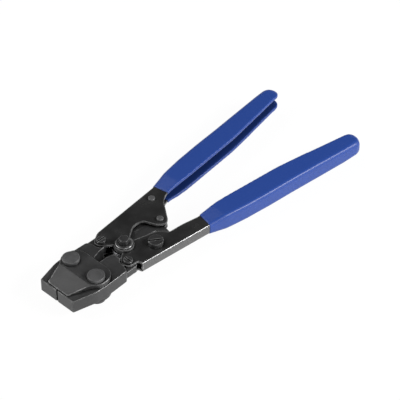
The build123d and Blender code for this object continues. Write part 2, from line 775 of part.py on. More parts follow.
def wire_path(stations, legs):
    """Line of a spring wire through its coil stations, with a leg at each end."""
    (first, first_way), (last, last_way) = stations[0], stations[-1]
    with BuildLine() as path:
        Line(first - first_way * legs[0], first)
        for (start, start_way), (end, end_way) in zip(stations, stations[1:]):
            joint = arc_joint(start, start_way, end, end_way)
            half = TangentArc(start, joint, tangent=start_way)
            TangentArc(joint, end, tangent=half % 1)
        Line(last, last + last_way * legs[1])
    return path.wire()


def least_gap(path, wire, coil_r):
    """Smallest clear distance between parts of a wire that are half a turn or more apart."""
    points = [path @ (step / GAP_STEPS) for step in range(GAP_STEPS + 1)]
    skip = ceil(radians(180) * coil_r * GAP_STEPS / path.length)
    pairs = ((near, far) for step, near in enumerate(points) for far in points[step + skip:])
    return min((near - far).length for near, far in pairs) - wire


def swept_wire(path, wire):
    """Round wire along a path, put into the open part."""
    with BuildSketch(Plane(origin=path @ 0, z_dir=path % 0)) as section:
        Circle(wire / 2)
    sweep(section.sketch, path=path)


leg_x, leg_back = OPENING_LEG_AT
leg_far = hypot(leg_x, leg_back - MAIN_PIVOT[1])
leg_deg = degrees(atan2(leg_back - MAIN_PIVOT[1], leg_x))
leave_deg = leg_deg - degrees(acos(OPENING_COIL_R / leg_far))
opening_leg = sqrt(leg_far**2 - OPENING_COIL_R**2)
opening_path = wire_path(
    coil_stations(
        pivot,
        OPENING_COIL_R,
        leave_deg,
        180 - 2 * leave_deg - 360 * (OPENING_TURNS + 1),
        *OPENING_COIL_UPS,
    ),
    (opening_leg, opening_leg),
)
with BuildPart() as opening_spring:
    swept_wire(opening_path, OPENING_WIRE)
save(opening_spring, "opening_spring")

pawl_path = wire_path(
    coil_stations(
        shaft_at,
        PAWL_COIL_R,
        PAWL_LEG_START_DEG,
        PAWL_LEG_END_DEG - PAWL_LEG_START_DEG + 360 * PAWL_TURNS,
        *PAWL_COIL_UPS,
    ),
    PAWL_LEGS,
)
with BuildPart() as pawl_spring:
    swept_wire(pawl_path, PAWL_WIRE)
save(pawl_spring, "pawl_spring")

for name, gap in (
    ("opening_spring", least_gap(opening_path, OPENING_WIRE, OPENING_COIL_R)),
    ("pawl_spring", least_gap(pawl_path, PAWL_WIRE, PAWL_COIL_R)),
):
    print(f"{name}: least gap to itself {gap:.2f} mm, at least {LEAST_WIRE_GAP} wanted")
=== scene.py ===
"""Looks of a ratchet clamp tool: blackened steel, blue dipped grips and a plain studio.

All sizes are metres in the tool's own frame: the jaws point along -Y, the handles along +Y,
and the tool lies flat with +Z up.
"""

import json
from math import acos, atan2, cos, hypot, pi, radians, sin, sqrt

import bmesh
import bpy
from bpy.props import FloatProperty, FloatVectorProperty, IntProperty, PointerProperty
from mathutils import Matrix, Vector

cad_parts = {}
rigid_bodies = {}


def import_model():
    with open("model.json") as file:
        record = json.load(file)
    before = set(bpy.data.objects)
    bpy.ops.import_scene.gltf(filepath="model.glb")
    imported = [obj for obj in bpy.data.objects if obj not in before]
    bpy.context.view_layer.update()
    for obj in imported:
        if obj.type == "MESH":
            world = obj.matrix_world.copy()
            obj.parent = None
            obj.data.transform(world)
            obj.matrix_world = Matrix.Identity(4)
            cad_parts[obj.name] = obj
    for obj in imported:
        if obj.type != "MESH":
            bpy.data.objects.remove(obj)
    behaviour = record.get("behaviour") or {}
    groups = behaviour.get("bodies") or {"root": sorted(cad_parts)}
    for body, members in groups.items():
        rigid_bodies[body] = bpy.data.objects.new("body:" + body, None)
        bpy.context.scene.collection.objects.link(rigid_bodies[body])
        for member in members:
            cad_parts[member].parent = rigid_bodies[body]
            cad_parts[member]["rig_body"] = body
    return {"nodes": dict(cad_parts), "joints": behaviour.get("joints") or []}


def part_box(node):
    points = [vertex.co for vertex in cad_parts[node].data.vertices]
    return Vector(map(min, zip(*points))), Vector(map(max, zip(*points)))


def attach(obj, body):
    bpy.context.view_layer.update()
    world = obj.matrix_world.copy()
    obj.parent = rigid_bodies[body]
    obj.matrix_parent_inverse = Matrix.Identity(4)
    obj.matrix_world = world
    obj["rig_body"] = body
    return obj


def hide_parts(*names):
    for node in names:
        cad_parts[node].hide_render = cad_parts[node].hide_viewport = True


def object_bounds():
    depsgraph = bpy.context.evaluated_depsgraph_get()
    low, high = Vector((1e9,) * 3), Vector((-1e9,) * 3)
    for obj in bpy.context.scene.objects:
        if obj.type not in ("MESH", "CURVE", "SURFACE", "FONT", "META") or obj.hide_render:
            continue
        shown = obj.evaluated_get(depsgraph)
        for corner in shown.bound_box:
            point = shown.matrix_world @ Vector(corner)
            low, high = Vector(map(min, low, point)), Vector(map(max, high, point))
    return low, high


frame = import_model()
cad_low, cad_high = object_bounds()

bl_info = {
    "name": "Ratchet clamp tool",
    "version": (1, 0, 0),
    "blender": (4, 5, 0),
    "location": "View3D > Sidebar > Clamp tool",
    "description": "Finishes the steel, grips, fasteners and springs of a ratchet clamp tool",
    "category": "Object",
}

MM = 0.001

# Heights and places that the pieces share, read from the frame
JOINTS = {joint["name"]: Vector(joint["pos_m"]) for joint in frame["joints"]}
MID_Z = JOINTS["left_handle_hinge"].z
PIVOT = (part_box("pivot_sleeve")[0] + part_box("pivot_sleeve")[1]) / 2
RELEASE = JOINTS["release_hinge"]

# Copies of the solids: how near points are merged, and which angles count as flat and as sharp
MERGE = 0.002 * MM
FLAT_DEG = 0.4
SHARP_DEG = 28.0

# Grips: the ends of the front rim, out from the middle and back from the noses of the jaws
RIM_OUTER = (28.5 * MM, 119.9 * MM)
RIM_INNER = (15.6 * MM, 122.3 * MM)
# How far behind the rim the steel inside starts
RIM_DEPTH = 0.35 * MM
# Smoothing starts with a small share at the rim and is whole this far behind it
RIM_SHARE = 0.15
RIM_FIRM = 8.0 * MM
SOFT_FACTOR = 0.5

# Rivets: a ring is a radius and a depth, and its steps go across and down in depths
JAW_RIVET_SHANK_R = 4.0 * MM
JAW_RIVET_EDGE = 0.75 * MM
JAW_RIVET_RING = (4.1 * MM, 0.09 * MM)
RING_STEPS = ((-4, 0), (-2, 0), (0, 1), (2, 0), (4, 0))
SECTOR_RIVET_R = 2.65 * MM
SECTOR_RIVET_SHANK_R = 1.6 * MM
SECTOR_RIVET_EDGE = 0.95 * MM
SECTOR_RIVET_HEAD = 1.6 * MM
RIVET_ARC_STEPS = 5

# Springs: first and last height over the tool's middle, and where the opening legs end, from the pivot
OPENING_COIL_R = 8.0 * MM
OPENING_HEIGHTS = (2.25 * MM, -0.65 * MM)
OPENING_LEG_AT = (21.3 * MM, 12.3 * MM)
OPENING_TURNS = 2
PAWL_COIL_R = 3.9 * MM
PAWL_HEIGHTS = (-0.2 * MM, -2.4 * MM)
PAWL_TURNS = 2
PAWL_START_DEG = 180.0
PAWL_END_DEG = 240.0
PAWL_LEGS = (9.0 * MM, 10.4 * MM)
POINTS_PER_TURN = 48
WIRE_SIDES = 16

# Finishes: noise is in waves per metre, and a span is the stretch of a value over which a look changes
NOISE_ROUGHNESS = 0.55
SHADE_SAMPLES = 8

# Blackened steel: clouds, satin and grain, rubbed patches and edges that are partly worn and partly a
# painted highlight, bare sides and bends, and painted shade that blackens the hollows
CLOUD_WAVES = 70.0
CLOUD_SPAN = (0.35, 0.7)
CLOUD_LIGHTER = 1.55
SATIN_SPAN = (0.3, 0.75)
SATIN_SMOOTHER = 0.05
SATIN_ROUGHER = 0.07
GRAIN_WAVES = 900.0
GRAIN_DEPTH = 0.01 * MM
GRAIN_STRENGTH = 0.5
PATCH_WAVES = 260.0
PATCH_SPAN = (0.42, 0.62)
PATCH_LEAST = 0.15
EDGE_SPAN = (0.45, 0.9)
SIDE_SPAN = (0.44, 0.6)
BEND_SPAN = (0.76, 0.83)
# Painted shade: near other surfaces the steel is painted black and dull, standing in for the shade in
# hollows and gaps
PAINTED_SHADE_REACH = 2.4 * MM
PAINTED_SHADE_SPAN = (0.4, 0.8)
PAINTED_SHADE_MOST = 0.9
PAINTED_SHADE_BLACK = (0.003, 0.003, 0.003, 1.0)
STEEL_SPECULAR = 0.5

# Dipped vinyl: painted shade that deepens the colour in its hollows, with a skin texture
VINYL_SHADE_REACH = 14.0 * MM
VINYL_SHADE_SPAN = (0.5, 0.92)
VINYL_SHADED_FACTOR = 0.42
VINYL_ROUGHNESS = 0.37
VINYL_SPECULAR = 0.45
SKIN_WAVES = 420.0
SKIN_DEPTH = 0.03 * MM
SKIN_STRENGTH = 0.35

# Spring wire: lighter streaks on dark steel
STREAK_WAVES = 1200.0
STREAK_SPAN = (0.35, 0.7)
STREAK_LIGHTER = 2.2
STREAK_ROUGH_SPAN = (0.3, 0.7)
STREAK_ROUGHNESS = (0.26, 0.4)
WIRE_METALLIC = 0.85

# Stage: the place that the camera and the lamps look at, and each lamp's place and size
TARGET = Vector((1.48 * MM, 5.77 * MM, MID_Z))
FLOOR_R = 6.0
FLOOR_SIDES = 96
FLOOR_DROP = 0.05 * MM
WALL_HIGH = 1.6
GLOW_STRENGTH = 1.03
GLOW_SHARE = 0.93
LAMPS = {
    "key": ((-0.84, 0.07, 1.12), (0.55, 0.55)),
    "front": ((-0.55, -0.66, 0.68), (0.6, 0.6)),
    "fill": ((1.28, -0.8, 0.13), (1.2, 0.22)),
    "strip": ((1.04, 0.6, 0.81), (0.9, 0.36)),
}


class ClampToolSizes(bpy.types.PropertyGroup):
    """Sizes of the details that the finish adds."""

    forged_edge: FloatProperty(
        name="Forged edge", description="Rounding on the jaws and link plates",
        default=0.26 * MM, unit="LENGTH", precision=5,
    )
    plate_edge: FloatProperty(
        name="Plate edge", description="Rounding on the pressed handle plates and the washers",
        default=0.36 * MM, unit="LENGTH", precision=5,
    )
    hardware_edge: FloatProperty(
        name="Hardware edge", description="Rounding on screws, nuts and small steel pieces",
        default=0.2 * MM, unit="LENGTH", precision=5,
    )
    edge_steps: IntProperty(
        name="Edge steps", description="Faces across a rounded edge",
        default=3, min=1, max=6,
    )
    grip_grain: FloatProperty(
        name="Grip grain", description="Face size of the dipped grips",
        default=0.45 * MM, unit="LENGTH", precision=5,
    )
    grip_softness: IntProperty(
        name="Grip softness", description="Smoothing passes over the dipped grips",
        default=24, min=0, max=60,
    )
    turning_steps: IntProperty(
        name="Turning steps", description="Faces round a rivet",
        default=72, min=16, max=256,
    )
    opening_wire: FloatProperty(
        name="Opening spring wire", description="Wire thickness of the opening spring",
        default=0.82 * MM, unit="LENGTH", precision=5,
    )
    pawl_wire: FloatProperty(
        name="Pawl spring wire", description="Wire thickness of the pawl spring",
        default=0.55 * MM, unit="LENGTH", precision=5,
    )


class ClampToolFinishes(bpy.types.PropertyGroup):
    """Colours of the finishes."""

    forged_black: FloatVectorProperty(
        name="Forged black", description="Jaws and link plates", subtype="COLOR", size=4,
        default=(0.027, 0.027, 0.0273, 1.0), min=0.0, max=1.0,
    )
    plate_black: FloatVectorProperty(
        name="Plate black", description="Pressed handle plates and washers", subtype="COLOR", size=4,
        default=(0.021, 0.021, 0.021, 1.0), min=0.0, max=1.0,
    )
    hardware_black: FloatVectorProperty(
        name="Hardware black", description="Screws, nuts and small steel pieces", subtype="COLOR", size=4,
        default=(0.026, 0.026, 0.0263, 1.0), min=0.0, max=1.0,
    )
    rivet_black: FloatVectorProperty(
        name="Rivet black", description="Large and small rivets", subtype="COLOR", size=4,
        default=(0.062, 0.062, 0.063, 1.0), min=0.0, max=1.0,
    )
    # Worn steel is partly real wear and partly a painted highlight along every outer edge, lit or not
    worn_steel_and_sheen: FloatVectorProperty(
        name="Worn steel", description="Steel where the black has rubbed off", subtype="COLOR", size=4,
        default=(0.65, 0.65, 0.65, 1.0), min=0.0, max=1.0,
    )
    wire_grey: FloatVectorProperty(
        name="Wire grey", description="Spring wire", subtype="COLOR", size=4,
        default=(0.12, 0.12, 0.125, 1.0), min=0.0, max=1.0,
    )
    vinyl_blue: FloatVectorProperty(
        name="Vinyl blue", description="Dipped grips", subtype="COLOR", size=4,
        default=(0.024, 0.070, 0.325, 1.0), min=0.0, max=1.0,
    )
    floor_white: FloatVectorProperty(
        name="Floor white", description="Floor and backdrop", subtype="COLOR", size=4,
        default=(0.86, 0.86, 0.86, 1.0), min=0.0, max=1.0,
    )


class ClampToolStage(bpy.types.PropertyGroup):
    """Camera and light."""

    azimuth: FloatProperty(
        name="Azimuth", description="Camera direction round the tool",
        default=radians(44.16), subtype="ANGLE",
    )
    elevation: FloatProperty(
        name="Elevation", description="Camera height over the horizon",
        default=radians(41.76), subtype="ANGLE",
    )
    distance: FloatProperty(
        name="Distance", description="Camera distance",
        default=1.5, unit="LENGTH",
    )
    lens: FloatProperty(
        name="Lens", description="Focal length in millimetres",
        default=189.40,
    )
    sky: FloatProperty(
        name="Sky", description="Strength of the even light from all round",
        default=0.29,
    )
    key: FloatProperty(
        name="Key", description="Power of the high lamp on the left of the tool in watts",
        default=2.8,
    )
    front: FloatProperty(
        name="Front", description="Power of the soft box before the jaws in watts",
        default=5.0,
    )
    fill: FloatProperty(
        name="Fill", description="Power of the low lamp on the camera's side in watts",
        default=6.5,
    )
    strip: FloatProperty(
        name="Strip", description="Power of the strip lamp on the right of the tool in watts",
        default=20.0,
    )


def sizes():
    """Sizes that are set in this scene."""
    return bpy.context.scene.clamp_sizes


def finishes():
    """Colours that are set in this scene."""
    return bpy.context.scene.clamp_finishes


# Nodes
def add_node(tree, kind, **settings):
    """New node with the given settings."""
    node = tree.nodes.new(kind)
    for key, value in settings.items():
        setattr(node, key, value)
    return node


def feed(tree, value, socket):
    """Give a socket a plain value, or the value of another socket."""
    if isinstance(value, bpy.types.NodeSocket):
        tree.links.new(value, socket)
    else:
        socket.default_value = value


def noise(tree, coords, waves, detail):
    """Noise value on object coordinates, in waves per metre."""
    node = add_node(tree, "ShaderNodeTexNoise")
    node.inputs["Scale"].default_value = waves
    node.inputs["Detail"].default_value = detail
    node.inputs["Roughness"].default_value = NOISE_ROUGHNESS
    tree.links.new(coords, node.inputs["Vector"])
    return node.outputs["Fac"]


def ranged(tree, value, span, to_low, to_high):
    """Value mapped from a span to another range, and held inside it."""
    node = add_node(tree, "ShaderNodeMapRange", clamp=True)
    for key, number in zip(("From Min", "From Max", "To Min", "To Max"), (*span, to_low, to_high)):
        node.inputs[key].default_value = number
    tree.links.new(value, node.inputs["Value"])
    return node.outputs["Result"]


def mixed(tree, share, first, second):
    """Colour mix: first where share is 0, second where it is 1. Colours or sockets."""
    node = add_node(tree, "ShaderNodeMix", data_type="RGBA")
    tree.links.new(share, node.inputs["Factor"])
    for key, colour in (("A", first), ("B", second)):
        feed(tree, colour, next(s for s in node.inputs if s.name == key and s.type == "RGBA"))
    return next(s for s in node.outputs if s.type == "RGBA")


def worked_out(tree, operation, *values):
    """Result of one operation on numbers or sockets."""
    node = add_node(tree, "ShaderNodeMath", operation=operation)
    for socket, value in zip(node.inputs, values):
        feed(tree, value, socket)
    return node.outputs["Value"]


def times(tree, first, second):
    """Product of two values."""
    return worked_out(tree, "MULTIPLY", first, second)


def larger(tree, first, second):
    """Larger of two values."""
    return worked_out(tree, "MAXIMUM", first, second)


def bump(tree, height, depth, strength):
    """Small relief from a height value."""
    node = add_node(tree, "ShaderNodeBump")
    node.inputs["Strength"].default_value = strength
    node.inputs["Distance"].default_value = depth
    tree.links.new(height, node.inputs["Height"])
    return node.outputs["Normal"]


def openness(tree, reach, **settings):
    """Share of free directions round a point: 1 in the open, 0 where all is blocked within reach."""
    node = add_node(tree, "ShaderNodeAmbientOcclusion", samples=SHADE_SAMPLES, **settings)
    node.inputs["Distance"].default_value = reach
    return node.outputs["AO"]


# Materials
def blank_material(name):
    """Empty material: itself, its tree and its surface."""
    material = bpy.data.materials.new(name)
    material.use_nodes = True
    tree = material.node_tree
    tree.nodes.clear()
    return material, tree, add_node(tree, "ShaderNodeOutputMaterial").inputs["Surface"]


def plain_material(name):
    """Material of one shader: itself, its tree, the shader's inputs and the coordinates."""
    material, tree, surface = blank_material(name)
    shader = add_node(tree, "ShaderNodeBsdfPrincipled")
    tree.links.new(shader.outputs["BSDF"], surface)
    return material, tree, shader.inputs, add_node(tree, "ShaderNodeTexCoord").outputs


def scaled(colour, factor):
    """Colour made lighter or deeper, still opaque."""
    return tuple(min(1.0, factor * c) for c in colour[:3]) + (1.0,)


def edge_share(tree, reach):
    """Share of wear and painted highlight: 1 on outer edges, 0 on flats and in corners."""
    return ranged(tree, openness(tree, reach, inside=True, only_local=True), EDGE_SPAN, 1.0, 0.0)


def bare_share(tree, normal, bare_sides, bare_bends):
    """Share of bare steel on a pressed channel: on its sides and its bends, none on its flats."""
    facing = add_node(tree, "ShaderNodeSeparateXYZ")
    tree.links.new(normal, facing.inputs["Vector"])
    level = worked_out(tree, "ABSOLUTE", facing.outputs["Z"])
    off_flats = ranged(tree, level, BEND_SPAN, bare_bends, 0.0)
    return times(tree, off_flats, ranged(tree, level, SIDE_SPAN, bare_sides / bare_bends, 1.0))


def black_steel(name, colour, roughness, wear, reach, bare_sides=0.0, bare_bends=0.0):
    """Blackened steel: uneven satin with a fine grain, painted shade that blackens the hollows, and edges
    rubbed brighter, partly worn and partly a painted highlight.
    """
    material, tree, shader, coords = plain_material(name)
    cloud = noise(tree, coords["Object"], CLOUD_WAVES, detail=4.0)
    patch = noise(tree, coords["Object"], PATCH_WAVES, detail=3.0)
    grain = noise(tree, coords["Object"], GRAIN_WAVES, detail=2.0)

    lighter = scaled(colour, CLOUD_LIGHTER)
    body = mixed(tree, ranged(tree, cloud, CLOUD_SPAN, 0.0, 1.0), tuple(colour), lighter)
    patches = ranged(tree, patch, PATCH_SPAN, PATCH_LEAST, 1.0)
    # Rubbed edges: partly real wear, partly a painted highlight along every outer edge
    rubbed = times(tree, times(tree, edge_share(tree, reach), patches), wear)
    if bare_sides:
        rubbed = larger(tree, rubbed, bare_share(tree, coords["Normal"], bare_sides, bare_bends))
    worn_and_sheen = mixed(tree, rubbed, body, tuple(finishes().worn_steel_and_sheen))
    # Painted shade: hollows and gaps between parts are painted black, with no shine left
    painted_shade = ranged(tree, openness(tree, PAINTED_SHADE_REACH), PAINTED_SHADE_SPAN, PAINTED_SHADE_MOST, 0.0)
    rough = ranged(tree, cloud, SATIN_SPAN, roughness - SATIN_SMOOTHER, roughness + SATIN_ROUGHER)

    tree.links.new(mixed(tree, painted_shade, worn_and_sheen, PAINTED_SHADE_BLACK), shader["Base Color"])
    tree.links.new(rough, shader["Roughness"])
    tree.links.new(larger(tree, rubbed, painted_shade), shader["Metallic"])
    shader["Specular IOR Level"].default_value = STEEL_SPECULAR
    tree.links.new(bump(tree, grain, GRAIN_DEPTH, GRAIN_STRENGTH), shader["Normal"])
    return material


def dipped_vinyl(name, colour):
    """Glossy dipped coat: a faint skin texture, and painted shade that deepens the colour in the hollows.
    """
    material, tree, shader, coords = plain_material(name)
    skin = noise(tree, coords["Object"], SKIN_WAVES, detail=2.0)
    # Painted shade: the blue is painted deeper where the grip's own channel closes in
    in_open = ranged(tree, openness(tree, VINYL_SHADE_REACH, only_local=True), VINYL_SHADE_SPAN, 0.0, 1.0)
    body = mixed(tree, in_open, scaled(colour, VINYL_SHADED_FACTOR), tuple(colour))
    tree.links.new(body, shader["Base Color"])
    shader["Roughness"].default_value = VINYL_ROUGHNESS
    shader["Specular IOR Level"].default_value = VINYL_SPECULAR
    tree.links.new(bump(tree, skin, SKIN_DEPTH, SKIN_STRENGTH), shader["Normal"])
    return material


def drawn_wire(name, colour):
    """Spring wire: dark drawn steel with a brighter streaked shine."""
    material, tree, shader, coords = plain_material(name)
    streak = noise(tree, coords["Object"], STREAK_WAVES, detail=3.0)
    lighter = scaled(colour, STREAK_LIGHTER)
    body = mixed(tree, ranged(tree, streak, STREAK_SPAN, 0.0, 1.0), tuple(colour), lighter)
    tree.links.new(body, shader["Base Color"])
    tree.links.new(ranged(tree, streak, STREAK_ROUGH_SPAN, *STREAK_ROUGHNESS), shader["Roughness"])
    shader["Metallic"].default_value = WIRE_METALLIC
    return material


def made_once(name, maker, **looks):
    """Finish of this name, made in the colour of the same name when it is first asked for."""
    return bpy.data.materials.get(name) or maker(name, getattr(finishes(), name), **looks)


def forged_finish():
    """Jaws and link plates."""
    return made_once("forged_black", black_steel, roughness=0.34, wear=0.9, reach=0.8 * MM)


def plate_finish():
    """Handle channels and washers."""
    return made_once(
        "plate_black", black_steel, roughness=0.24, wear=1.0, reach=1.1 * MM,
        bare_sides=0.15, bare_bends=0.34,
    )


def hardware_finish():
    """Bolt, nuts, screws, sleeve, ratchet and release."""
    return made_once("hardware_black", black_steel, roughness=0.28, wear=0.7, reach=0.8 * MM)


def rivet_finish():
    """Large and small rivets."""
    return made_once("rivet_black", black_steel, roughness=0.36, wear=0.7, reach=0.7 * MM)


def vinyl_finish():
    """Grips."""
    return made_once("vinyl_blue", dipped_vinyl)


def wire_finish():
    """Springs."""
    return made_once("wire_grey", drawn_wire)


def studio_white():
    """White floor and wall: the picture and reflections see it white, with a faint shadow."""
    material, tree, surface = blank_material("studio_white")
    lit = add_node(tree, "ShaderNodeBsdfDiffuse")
    lit.inputs["Color"].default_value = tuple(finishes().floor_white)
    glow = add_node(tree, "ShaderNodeEmission")
    glow.inputs["Strength"].default_value = GLOW_STRENGTH
    rays = add_node(tree, "ShaderNodeLightPath").outputs
    reflected = larger(tree, rays["Is Glossy Ray"], rays["Is Transmission Ray"])
    seen = larger(tree, rays["Is Camera Ray"], reflected)
    both = add_node(tree, "ShaderNodeMixShader")
    sources = (times(tree, seen, GLOW_SHARE), lit.outputs["BSDF"], glow.outputs["Emission"])
    for source, socket in zip(sources, both.inputs):
        tree.links.new(source, socket)
    tree.links.new(both.outputs["Shader"], surface)
    return material


# Pieces
def add_object(name, data):
    """Object at the origin, in the scene."""
    piece = bpy.data.objects.new(name, data)
    bpy.context.scene.collection.objects.link(piece)
    return piece


def settle(piece):
    """The piece's modifiers turned into a plain mesh."""
    graph = bpy.context.evaluated_depsgraph_get()
    plain = bpy.data.meshes.new_from_object(piece.evaluated_get(graph))
    name = piece.name
    if piece.type == "MESH":
        piece.modifiers.clear()
        piece.data = plain
        plain.name = name
        return piece
    bpy.data.objects.remove(piece)
    return add_object(name, plain)


def hand_over(piece, node, material):
    """Put a finished piece in the place of a CAD node, on its body, in the given material."""
    piece.data.materials.clear()
    piece.data.materials.append(material)
    body = frame["nodes"][node]["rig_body"]
    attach(piece, body)
    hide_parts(node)


def joined_shape(node):
    """Copy of a CAD node as one joined shape."""
    shape = bmesh.new()
    shape.from_mesh(frame["nodes"][node].data)
    bmesh.ops.remove_doubles(shape, verts=shape.verts, dist=MERGE)
    return shape


def merged_shape(node):
    """Copy of a CAD node as one joined shape with whole flat faces."""
    shape = joined_shape(node)
    bmesh.ops.dissolve_limit(shape, angle_limit=radians(FLAT_DEG), verts=shape.verts, edges=shape.edges)
    return shape


def to_mesh(shape, name):
    """Mesh of a shape, which is then freed."""
    mesh = bpy.data.meshes.new(name)
    shape.to_mesh(mesh)
    shape.free()
    return mesh


def smooth_by_angle(piece):
    """Smooth shading, except over sharp edges."""
    piece.data.shade_smooth()
    piece.data.set_sharp_from_angle(angle=radians(SHARP_DEG))


def rounded_steel(node, word, width, material):
    """Copy of a CAD node with small round edges, put in its place."""
    name = f"{node}_{word}"
    piece = add_object(name, to_mesh(merged_shape(node), name))
    piece.data.shade_smooth()
    edges = piece.modifiers.new("round edges", "BEVEL")
    edges.width = width
    edges.segments = sizes().edge_steps
    edges.limit_method = "ANGLE"
    edges.angle_limit = radians(SHARP_DEG)
    edges.use_clamp_overlap = True
    edges.miter_outer = "MITER_ARC"
    flats = piece.modifiers.new("flat faces", "WEIGHTED_NORMAL")
    flats.keep_sharp = True
    hand_over(settle(piece), node, material)


def turned_mesh(name, profile):
    """Turned shape about Z from (radius, height) points that start and end on the axis."""
    shape = bmesh.new()
    points = [shape.verts.new((radius, 0.0, height)) for radius, height in profile]
    lines = [shape.edges.new(pair) for pair in zip(points, points[1:])]
    bmesh.ops.spin(
        shape, geom=points + lines, cent=(0, 0, 0), axis=(0, 0, 1),
        angle=2 * pi, steps=sizes().turning_steps, use_merge=True,
    )
    bmesh.ops.remove_doubles(shape, verts=shape.verts, dist=MERGE)
    bmesh.ops.recalc_face_normals(shape, faces=shape.faces)
    return to_mesh(shape, name)


# Geometry node trees
def tree_with(name, inputs):
    """Geometry tree with the named inputs between its geometry and its material."""
    tree = bpy.data.node_groups.new(name, "GeometryNodeTree")
    tree.interface.new_socket("Geometry", in_out="INPUT", socket_type="NodeSocketGeometry")
    for key, kind in inputs:
        tree.interface.new_socket(key, in_out="INPUT", socket_type=kind)
    tree.interface.new_socket("Material", in_out="INPUT", socket_type="NodeSocketMaterial")
    tree.interface.new_socket("Geometry", in_out="OUTPUT", socket_type="NodeSocketGeometry")
    return tree, add_node(tree, "NodeGroupInput").outputs


def close_tree(tree, given, geometry):
    """End of a tree: the geometry made real, in the given material."""
    real = add_node(tree, "GeometryNodeRealizeInstances")
    finish = add_node(tree, "GeometryNodeSetMaterial")
    result = add_node(tree, "NodeGroupOutput")
    tree.links.new(geometry, real.inputs["Geometry"])
    tree.links.new(real.outputs["Geometry"], finish.inputs["Geometry"])
    tree.links.new(given["Material"], finish.inputs["Material"])
    tree.links.new(finish.outputs["Geometry"], result.inputs["Geometry"])
    return tree


def run_tree(piece, tree, values):
    """The piece's mesh or curve passed through a tree, as a plain mesh."""
    modifier = piece.modifiers.new(tree.name, "NODES")
    modifier.node_group = tree
    for item in tree.interface.items_tree:
        if item.in_out == "INPUT" and item.name in values:
            modifier[item.identifier] = values[item.name]
    return settle(piece)


def repeat_tree():
    """Tree that puts one part on every point."""
    found = bpy.data.node_groups.get("repeat part")
    if found:
        return found
    tree, given = tree_with("repeat part", [("Part", "NodeSocketObject")])
    part = add_node(tree, "GeometryNodeObjectInfo")
    copies = add_node(tree, "GeometryNodeInstanceOnPoints")
    tree.links.new(given["Part"], part.inputs["Object"])
    tree.links.new(given["Geometry"], copies.inputs["Points"])
    tree.links.new(part.outputs["Geometry"], copies.inputs["Instance"])
    return close_tree(tree, given, copies.outputs["Instances"])


def wire_tree():
    """Tree that gives a line the thickness of a wire."""
    found = bpy.data.node_groups.get("round wire")
    if found:
        return found
    tree, given = tree_with("round wire", [("Radius", "NodeSocketFloat"), ("Sides", "NodeSocketInt")])
    section = add_node(tree, "GeometryNodeCurvePrimitiveCircle")
    swept = add_node(tree, "GeometryNodeCurveToMesh")
    swept.inputs["Fill Caps"].default_value = True
    tree.links.new(given["Radius"], section.inputs["Radius"])
    tree.links.new(given["Sides"], section.inputs["Resolution"])
    tree.links.new(given["Geometry"], swept.inputs["Curve"])
    tree.links.new(section.outputs["Curve"], swept.inputs["Profile Curve"])
    return close_tree(tree, given, swept.outputs["Mesh"])


def repeated(name, part_mesh, places, material):
    """One mesh with a copy of a part at every place."""
    points = bpy.data.meshes.new(name)
    points.from_pydata(places, [], [])
    part = add_object(name + "_part", part_mesh)
    piece = run_tree(add_object(name, points), repeat_tree(), {"Part": part, "Material": material})
    bpy.data.objects.remove(part)
    smooth_by_angle(piece)
    return piece


# Jaws and handles
class CLAMP_OT_jaws(bpy.types.Operator):
    """Forged jaws and the link plates over and under them."""

    bl_idname = "clamp_tool.jaws"
    bl_label = "Jaws and link plates"

    def execute(self, context):
        for node in ("left_jaw", "right_jaw", "link_plate_top", "link_plate_bottom"):
            rounded_steel(node, "forged", sizes().forged_edge, forged_finish())
        return {"FINISHED"}


class CLAMP_OT_frames(bpy.types.Operator):
    """Pressed steel channels of the two handles."""

    bl_idname = "clamp_tool.frames"
    bl_label = "Handle channels"

    def execute(self, context):
        for node in ("left_handle_frame", "right_handle_frame"):
            rounded_steel(node, "pressed", sizes().plate_edge, plate_finish())
        return {"FINISHED"}


# Grips
def rim_plane(side):
    """Point and backward direction of the plane of a grip's front rim."""
    across = Vector((side * (RIM_OUTER[0] - RIM_INNER[0]), RIM_OUTER[1] - RIM_INNER[1], 0.0)).normalized()
    point = Vector((side * RIM_OUTER[0], cad_low.y + RIM_OUTER[1], MID_Z))
    return point, Vector((-across.y, across.x, 0.0)) * side


def filled_grip(side, coat_node, frame_node):
    """Coat and the steel inside it as one shape, the steel cut just behind the grip's rim."""
    shape = joined_shape(coat_node)
    steel = joined_shape(frame_node)
    point, backwards = rim_plane(side)
    bmesh.ops.bisect_plane(
        steel, geom=steel.verts[:] + steel.edges[:] + steel.faces[:],
        plane_co=point + backwards * RIM_DEPTH, plane_no=backwards, clear_inner=True,
    )
    bmesh.ops.holes_fill(steel, edges=[edge for edge in steel.edges if edge.is_boundary], sides=0)
    shape.from_mesh(to_mesh(steel, "steel inside"))
    return shape


def one_skin(piece):
    """The piece's shapes joined into one skin of small faces."""
    grain = piece.modifiers.new("one skin", "REMESH")
    grain.mode = "VOXEL"
    grain.voxel_size = sizes().grip_grain
    return settle(piece)


def softened(piece, side):
    """The piece with its edges smoothed, less towards the front rim."""
    point, backwards = rim_plane(side)
    loose = piece.vertex_groups.new(name="behind the rim")
    for vert in piece.data.vertices:
        share = (vert.co - point).dot(backwards) / RIM_FIRM
        loose.add([vert.index], min(1.0, max(RIM_SHARE, share)), "REPLACE")
    soft = piece.modifiers.new("soft edges", "SMOOTH")
    soft.factor = SOFT_FACTOR
    soft.iterations = sizes().grip_softness
    soft.vertex_group = loose.name
    piece = settle(piece)
    piece.vertex_groups.clear()
    piece.data.shade_smooth()
    return piece


